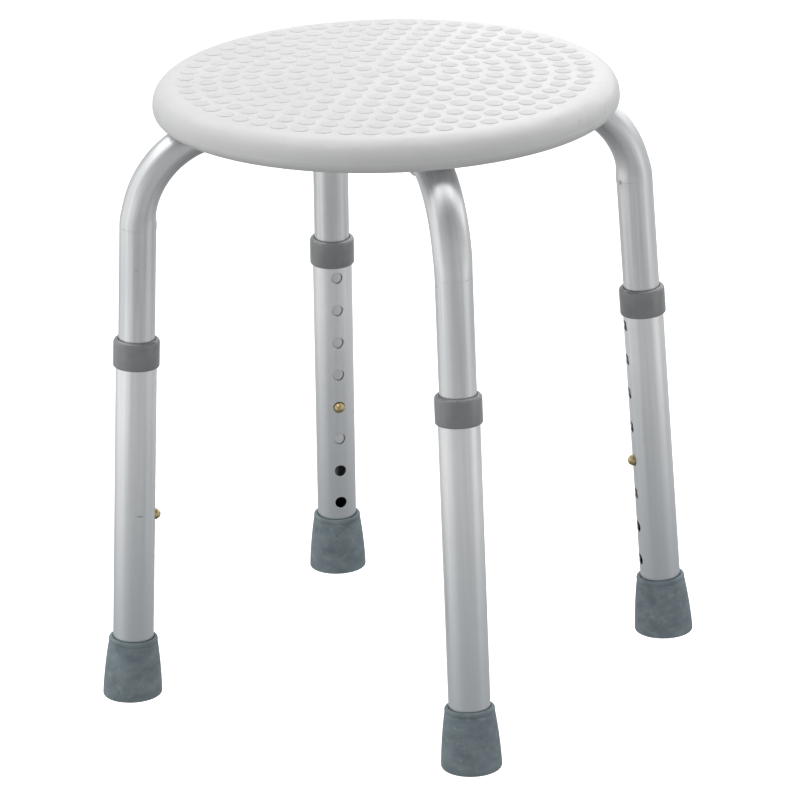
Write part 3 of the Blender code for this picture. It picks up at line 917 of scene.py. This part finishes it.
def make_saddle_washer(side, materials, offset):
    """A washer whose top is cut to the round of the tube it sits under."""
    node = "saddle_washer_" + side
    low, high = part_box(node)
    radius = max(high.x - low.x, high.y - low.y) / 2
    hole = ARM_SCREW_RADIUS + GAP
    corners = [
        (radius, high.z, 0.0004), (radius, low.z, 0.0008),
        (hole, low.z, 0.0003), (hole, high.z, 0.0),
    ]
    bm = new_bmesh()
    lathe(bm, rounded(corners, closed=True), SMALL_SIDES, closed=True)
    centre = middle_of(node)
    bm.transform(Matrix.Translation((*centre.xy, 0)))
    tube = "frame_tube_left_right" if side in ("left", "right") else "frame_tube_front_back"
    reach = centre.xy.length
    along = reach if side in ("right", "back") else -reach
    bm = carved(bm, [frame_solid(tube, along - 2 * radius, along + 2 * radius, GAP / 2)])
    finish_piece(
        bm, "dished_washer_" + side, [node], "root", materials, None, offset
    )


def hexagon_head(bottom, radius):
    """A bolt's hexagon head from its bottom up, with the corners turned off below."""
    top = bottom + CENTRE_BOLT_HEAD
    prism = new_bmesh()
    lathe(prism, [(0.0, top), (radius, top), (radius, bottom), (0.0, bottom)], 6)
    turned = new_bmesh()
    wide = radius + GAP
    outline = [
        (0.0, top + GAP), (wide, top + GAP), (wide, bottom + 0.0013), (radius * 0.8, bottom),
        (0.0, bottom),
    ]
    lathe(turned, outline, ROUND_SIDES)
    return carved(prism, [turned], "INTERSECT")


def make_centre_fasteners(materials):
    """The flat washer and the chamfered hexagon bolt at the crossing."""
    low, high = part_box("centre_washer")
    radius = (high.x - low.x) / 2
    hole = CENTRE_BOLT_RADIUS + GAP
    corners = [
        (radius, high.z, 0.0003), (radius, low.z, 0.0003),
        (hole, low.z, 0.0002), (hole, high.z, 0.0),
    ]
    bm = new_bmesh()
    lathe(bm, rounded(corners, closed=True, steps=3), ROUND_SIDES, closed=True)
    finish_piece(bm, "flat_washer_centre", ["centre_washer"], "root", materials)
    low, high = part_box("centre_bolt")
    bm = hexagon_head(low.z, max(high.x - low.x, high.y - low.y) / 2)
    under_head = low.z + CENTRE_BOLT_HEAD + SHANK_GAP
    shank = [
        (0.0, high.z),
        (CENTRE_BOLT_RADIUS * 0.8, high.z),
        (CENTRE_BOLT_RADIUS, high.z - 0.001),
        (CENTRE_BOLT_RADIUS, under_head),
        (0.0, under_head),
    ]
    lathe(bm, shank, SMALL_SIDES)
    finish_piece(bm, "hex_bolt_centre", ["centre_bolt"], "root", materials)


# ---------------------------------------------------------------- materials


def add_node(tree, kind, inputs=(), **settings):
    """A shader node with its settings, and each input linked or set to a value."""
    node = tree.nodes.new("ShaderNode" + kind)
    for name, value in settings.items():
        setattr(node, name, value)
    for key, value in dict(inputs).items():
        if isinstance(value, bpy.types.NodeSocket):
            tree.links.new(value, node.inputs[key])
        else:
            node.inputs[key].default_value = value
    return node


def new_material(name, constants=()):
    """A Principled material. constants are shader values that are the same all over."""
    material = bpy.data.materials.new(name)
    material.use_nodes = True
    tree = material.node_tree
    shader = tree.nodes["Principled BSDF"]
    for key, value in dict(constants).items():
        shader.inputs[key].default_value = value
    return material, tree, shader


def stock_place(tree, stretch=(1.0, 1.0, 1.0)):
    attribute = add_node(tree, "Attribute", attribute_name="stock", attribute_type="GEOMETRY")
    scaled = add_node(
        tree, "VectorMath", {0: attribute.outputs["Vector"], 1: stretch}, operation="MULTIPLY"
    )
    return scaled.outputs[0]


def noise(tree, scale, detail, stretch=(1.0, 1.0, 1.0), roughness=0.5):
    inputs = {
        "Vector": stock_place(tree, stretch), "Scale": scale, "Detail": detail,
        "Roughness": roughness,
    }
    return add_node(tree, "TexNoise", inputs).outputs[0]


def remap(tree, value, low, high, to_low=0.0, to_high=1.0):
    inputs = {0: value, 1: low, 2: high, 3: to_low, 4: to_high}
    return add_node(tree, "MapRange", inputs).outputs[0]


def arithmetic(tree, operation, first, second=0.0):
    return add_node(tree, "Math", {0: first, 1: second}, operation=operation).outputs[0]


def mix_colours(tree, factor, first, second):
    def colour(value):
        return value if isinstance(value, bpy.types.NodeSocket) else (*value, 1.0)

    inputs = {0: factor, 6: colour(first), 7: colour(second)}
    return add_node(tree, "Mix", inputs, data_type="RGBA").outputs[2]


def bump(tree, height, distance, below=None):
    inputs = {"Height": height, "Distance": distance, "Strength": 1.0}
    if below:
        inputs["Normal"] = below
    return add_node(tree, "Bump", inputs).outputs["Normal"]


def connect(tree, shader, colour, roughness, normal):
    tree.links.new(colour, shader.inputs["Base Color"])
    tree.links.new(roughness, shader.inputs["Roughness"])
    tree.links.new(normal, shader.inputs["Normal"])


def white_plastic():
    """Smooth blow-moulded plastic: faintly wavy, with an orange peel, dirt specks and painted crease shade."""
    material, tree, shader = new_material("white_plastic")
    clouds = remap(tree, noise(tree, 16, 4), 0.35, 0.65)
    colour = mix_colours(tree, clouds, (0.680, 0.680, 0.675), (0.712, 0.712, 0.708))
    specks = remap(tree, noise(tree, 230, 2), 0.735, 0.76, 0.0, 0.45)
    # Painted shade: darker in the concave creases at the foot of each disc
    crease_shade = remap(tree, add_node(tree, "NewGeometry").outputs["Pointiness"], 0.40, 0.49, 0.4, 0.0)
    specks_and_crease_shade = arithmetic(tree, "MAXIMUM", specks, crease_shade)
    # One brownish grey for both the dirt specks and the painted crease shade
    colour = mix_colours(tree, specks_and_crease_shade, colour, (0.40, 0.385, 0.36))
    roughness = remap(tree, noise(tree, 45, 5), 0.3, 0.7, 0.27, 0.38)
    waves = bump(tree, noise(tree, 38, 2), 0.0011)
    normal = bump(tree, noise(tree, 900, 2), 0.00002, waves)
    connect(tree, shader, colour, roughness, normal)
    return material


def tread_plastic():
    """The discs' grained tops, which are duller and hold a little more grime."""
    material, tree, shader = new_material("tread_plastic")
    clouds = remap(tree, noise(tree, 60, 4), 0.35, 0.65)
    colour = mix_colours(tree, clouds, (0.622, 0.624, 0.622), (0.666, 0.668, 0.666))
    grime = remap(tree, noise(tree, 700, 3), 0.5, 0.75, 0.0, 0.4)
    colour = mix_colours(tree, grime, colour, (0.52, 0.515, 0.50))
    roughness = remap(tree, noise(tree, 90, 4), 0.3, 0.7, 0.55, 0.7)
    normal = bump(tree, noise(tree, 1600, 3), 0.00006)
    connect(tree, shader, colour, roughness, normal)
    return material


def height_on_piece(tree):
    """A point's height on its own piece, without the piece's offset."""
    stock = add_node(tree, "SeparateXYZ", {0: stock_place(tree)}).outputs["Z"]
    return arithmetic(tree, "MODULO", stock, PIECE_OFFSET)


def ring_marks(tree, width):
    """How strongly each point lies on the bending tool's marks round a bent tube."""
    distance = arithmetic(tree, "ABSOLUTE", height_on_piece(tree))
    total = None
    for place in BEND_MARKS:
        off = arithmetic(tree, "ABSOLUTE", arithmetic(tree, "SUBTRACT", distance, place))
        mark = remap(tree, off, 0.0, width, 1.0, 0.0)
        total = mark if total is None else arithmetic(tree, "MAXIMUM", total, mark)
    return total


def satin_aluminium(name, dark, light, shine):
    """Anodised tube with fine draw lines along it and smudges.

    Returns the material with what a tube's own marks are added to.
    """
    material, tree, shader = new_material(name, {"Metallic": 1.0})
    lines = noise(tree, 1300, 2, (1.0, 1.0, 0.012))
    streaks = remap(tree, noise(tree, 380, 3, (1.0, 1.0, 0.022)), 0.35, 0.65)
    smudges = remap(tree, noise(tree, 30, 4, (1.0, 1.0, 0.35)), 0.3, 0.7)
    tone = arithmetic(tree, "ADD", streaks, smudges)
    colour = mix_colours(tree, remap(tree, tone, 0.2, 1.8), dark, light)
    smooth, rough = shine
    worn = arithmetic(tree, "ADD", arithmetic(tree, "MULTIPLY", lines, 0.7), smudges)
    roughness = remap(tree, worn, 0.2, 1.5, smooth, rough)
    dents = bump(tree, noise(tree, 75, 2), 0.00012)
    normal = bump(tree, lines, 0.00003, dents)
    connect(tree, shader, colour, roughness, normal)
    return material, tree, shader, colour


def nicks(tree, start, extra=0.0):
    """How dark each point is with small nicks. There are more of them where extra is high."""
    spots = noise(tree, 210, 3, (0.55, 0.55, 1.6))
    return remap(tree, arithmetic(tree, "ADD", spots, extra), start, start + 0.03, 0.0, 0.6)


def bent_aluminium():
    """The brighter bent tubes, with the bending tool's faint rings and the nicks near them."""
    material, tree, shader, colour = satin_aluminium(
        "bent_tube_aluminium", (0.66, 0.675, 0.685), (0.83, 0.84, 0.845), (0.30, 0.44)
    )
    near_bend = arithmetic(tree, "MULTIPLY", ring_marks(tree, NICKED_BAND_WIDTH), 0.09)
    patchy = remap(tree, noise(tree, 90, 3), 0.4, 0.6, 0.0, 0.2)
    rings = arithmetic(tree, "MULTIPLY", ring_marks(tree, RING_MARK_WIDTH), patchy)
    marks = arithmetic(tree, "MAXIMUM", nicks(tree, 0.745, near_bend), rings)
    colour = mix_colours(tree, marks, colour, MARK_COLOUR)
    tree.links.new(colour, shader.inputs["Base Color"])
    return material


def dulled_aluminium():
    """The lower tubes, with painted shade: darker and bluer towards the floor."""
    material, tree, shader, colour = satin_aluminium(
        "lower_tube_aluminium", (0.82, 0.83, 0.835), (0.93, 0.94, 0.94), (0.30, 0.42)
    )
    # Painted shade: darker and bluer from the first height down to the second, towards the floor
    floor_shade = remap(tree, height_on_piece(tree), *FLOOR_SHADE_HEIGHTS)
    colour = mix_colours(tree, floor_shade, colour, (0.595, 0.625, 0.645))
    colour = mix_colours(tree, nicks(tree, 0.755), colour, MARK_COLOUR)
    tree.links.new(colour, shader.inputs["Base Color"])
    return material


def grey_plastic():
    """The collars' moulded plastic, with fine scratches round it and paler rubbed edges."""
    material, tree, shader = new_material("grey_plastic", {"Specular IOR Level": 0.9})
    clouds = remap(tree, noise(tree, 90, 4), 0.35, 0.65)
    colour = mix_colours(tree, clouds, (0.205, 0.210, 0.216), (0.236, 0.241, 0.247))
    edge = add_node(tree, "NewGeometry").outputs["Pointiness"]
    rubbed = arithmetic(tree, "MULTIPLY", remap(tree, edge, 0.51, 0.56), noise(tree, 300, 3))
    colour = mix_colours(tree, rubbed, colour, (0.37, 0.37, 0.38))
    roughness = remap(tree, noise(tree, 120, 4, (1.0, 1.0, 3.0)), 0.3, 0.7, 0.16, 0.27)
    normal = bump(tree, noise(tree, 1100, 2), 0.000025)
    connect(tree, shader, colour, roughness, normal)
    return material


def mottled_rubber():
    """Blue-grey rubber with cloudy bloom, chalky rubbed patches and small pits."""
    material, tree, shader = new_material("mottled_rubber", {"Specular IOR Level": 0.35})
    clouds = remap(tree, noise(tree, 55, 6, (1.0, 1.0, 1.7), 0.62), 0.32, 0.68)
    colour = mix_colours(tree, clouds, (0.152, 0.194, 0.213), (0.266, 0.317, 0.341))
    chalk = remap(tree, noise(tree, 150, 5, roughness=0.7), 0.56, 0.72, 0.0, 0.6)
    edge = add_node(tree, "NewGeometry").outputs["Pointiness"]
    chalk = arithmetic(tree, "MAXIMUM", chalk, remap(tree, edge, 0.52, 0.58, 0.0, 0.5))
    colour = mix_colours(tree, chalk, colour, (0.37, 0.41, 0.42))
    pits = remap(tree, noise(tree, 260, 2), 0.73, 0.77, 0.0, 0.7)
    colour = mix_colours(tree, pits, colour, (0.05, 0.055, 0.06))
    roughness = remap(tree, clouds, 0.0, 1.0, 0.62, 0.82)
    lumps = bump(tree, noise(tree, 110, 4), 0.0005)
    normal = bump(tree, noise(tree, 900, 3), 0.00006, lumps)
    connect(tree, shader, colour, roughness, normal)
    return material


def tarnished_brass():
    material, tree, shader = new_material("tarnished_brass", {"Metallic": 1.0})
    tarnish = remap(tree, noise(tree, 420, 4), 0.4, 0.65)
    colour = mix_colours(tree, tarnish, (0.66, 0.53, 0.29), (0.36, 0.28, 0.15))
    roughness = remap(tree, tarnish, 0.0, 1.0, 0.22, 0.45)
    normal = bump(tree, noise(tree, 1500, 2), 0.00002)
    connect(tree, shader, colour, roughness, normal)
    return material


def plated_steel(name, dark, light):
    """Plated or bare steel with a cloudy surface and fine grain."""
    material, tree, shader = new_material(name, {"Metallic": 1.0})
    clouds = remap(tree, noise(tree, 500, 4), 0.35, 0.65)
    colour = mix_colours(tree, clouds, dark, light)
    roughness = remap(tree, noise(tree, 260, 4), 0.3, 0.7, 0.26, 0.44)
    normal = bump(tree, noise(tree, 1800, 2), 0.00002)
    connect(tree, shader, colour, roughness, normal)
    return material


# ---------------------------------------------------------------- studio


def add_softbox(name, place, size, power):
    light = bpy.data.lights.new(name, "AREA")
    light.shape = "RECTANGLE"
    light.size, light.size_y = size
    light.energy = power
    box = add_object(name, light)
    box.location = place
    box.visible_camera = False
    box.rotation_euler = (Vector(LIGHT_TARGET) - Vector(place)).to_track_quat("-Z", "Y").to_euler()


def make_floor():
    """A plain white floor, just under the feet of the legs at full length.

    From below it is clear, so that it never hides the underside.
    """
    height = -joints["leg_slide_right"]["range_m"][1] - GAP
    reach = FLOOR_REACH
    bm = bmesh.new()
    corners = [(reach, reach), (-reach, reach), (-reach, -reach), (reach, -reach)]
    bm.faces.new([bm.verts.new((*corner, height)) for corner in corners])
    mesh = bpy.data.meshes.new("studio_floor")
    bm.to_mesh(mesh)
    bm.free()
    constants = {
        "Base Color": FLOOR_COLOUR,
        "Roughness": 1.0,
        "Specular IOR Level": 0.0,
        "Emission Color": WHITE,
        "Emission Strength": FLOOR_GLOW,
    }
    material, tree, shader = new_material("floor_white", constants)
    clear = add_node(tree, "BsdfTransparent")
    behind = add_node(tree, "NewGeometry").outputs["Backfacing"]
    mixed = add_node(tree, "MixShader", {0: behind, 1: shader.outputs[0], 2: clear.outputs[0]})
    tree.links.new(mixed.outputs[0], tree.nodes["Material Output"].inputs["Surface"])
    mesh.materials.append(material)
    floor = add_object("studio_floor", mesh)
    floor.visible_diffuse = False
    floor.visible_glossy = False
    floor.visible_shadow = False


def make_world():
    """A room with lit walls and a dim floor and ceiling, which the camera sees as white."""
    world = bpy.data.worlds.new("studio")
    bpy.context.scene.world = world
    world.use_nodes = True
    tree = world.node_tree
    direction = add_node(tree, "TexCoord").outputs["Generated"]
    parts = add_node(tree, "SeparateXYZ", {0: direction}).outputs
    steepness = arithmetic(tree, "MULTIPLY", parts["Z"], parts["Z"])
    level = arithmetic(tree, "MAXIMUM", arithmetic(tree, "SUBTRACT", 1.0, steepness), ROOM_LEAST)
    walls = remap(tree, parts["Y"], -1.0, 1.0, ROOM_FRONT, ROOM_BACK)
    room = tree.nodes["Background"]
    room.inputs["Color"].default_value = ROOM_COLOUR
    tree.links.new(arithmetic(tree, "MULTIPLY", level, walls), room.inputs["Strength"])
    seen = add_node(tree, "Background", {"Color": WHITE, "Strength": 1.0})
    camera_ray = add_node(tree, "LightPath").outputs["Is Camera Ray"]
    mixed = add_node(tree, "MixShader", {0: camera_ray, 1: room.outputs[0], 2: seen.outputs[0]})
    tree.links.new(mixed.outputs[0], tree.nodes["World Output"].inputs["Surface"])


def make_camera():
    data = bpy.data.cameras.new("camera")
    data.sensor_width = 36.0
    data.lens = CAMERA_LENS
    data.shift_x, data.shift_y = CAMERA_SHIFT
    data.clip_start, data.clip_end = 0.1, 100.0
    camera = add_object("camera", data)
    turn = Matrix.Rotation(CAMERA_TURN, 4, "Z") @ Matrix.Rotation(pi / 2 - CAMERA_DOWN, 4, "X")
    turn = turn @ Matrix.Rotation(CAMERA_ROLL, 4, "Z")
    camera.matrix_world = Matrix.Translation(CAMERA_PLACE) @ turn
    bpy.context.scene.camera = camera


def make_studio():
    make_floor()
    make_world()
    for name, (place, size, power) in SOFTBOXES.items():
        add_softbox(name, place, size, power)
    make_camera()
    bpy.context.scene.view_settings.view_transform = "Standard"


# ---------------------------------------------------------------- the stool


def build():
    bent = bent_aluminium()
    straight = dulled_aluminium()
    steel = plated_steel("zinc_plate", (0.52, 0.53, 0.54), (0.68, 0.68, 0.66))
    spring = plated_steel("spring_steel_strip", (0.30, 0.30, 0.31), (0.42, 0.42, 0.43))
    collar = grey_plastic()
    rubber = mottled_rubber()
    brass = tarnished_brass()
    make_seat([white_plastic(), tread_plastic()])
    for node in FRAME_TUBES:
        make_frame_tube(node, [bent])
    make_centre_fasteners([steel])
    for i, side in enumerate(SIDES):
        offset = PIECE_OFFSET * (i + 1)
        make_lower_tube(side, [straight], offset)
        make_collar(side, [collar], offset)
        make_foot(side, [rubber], offset)
        make_foot_washer(side, [steel], offset)
        make_button(side, [brass], offset)
        make_spring(side, [spring], offset)
        make_arm_screw(side, [steel], offset)
        make_saddle_washer(side, [steel], offset)


build()
make_studio()
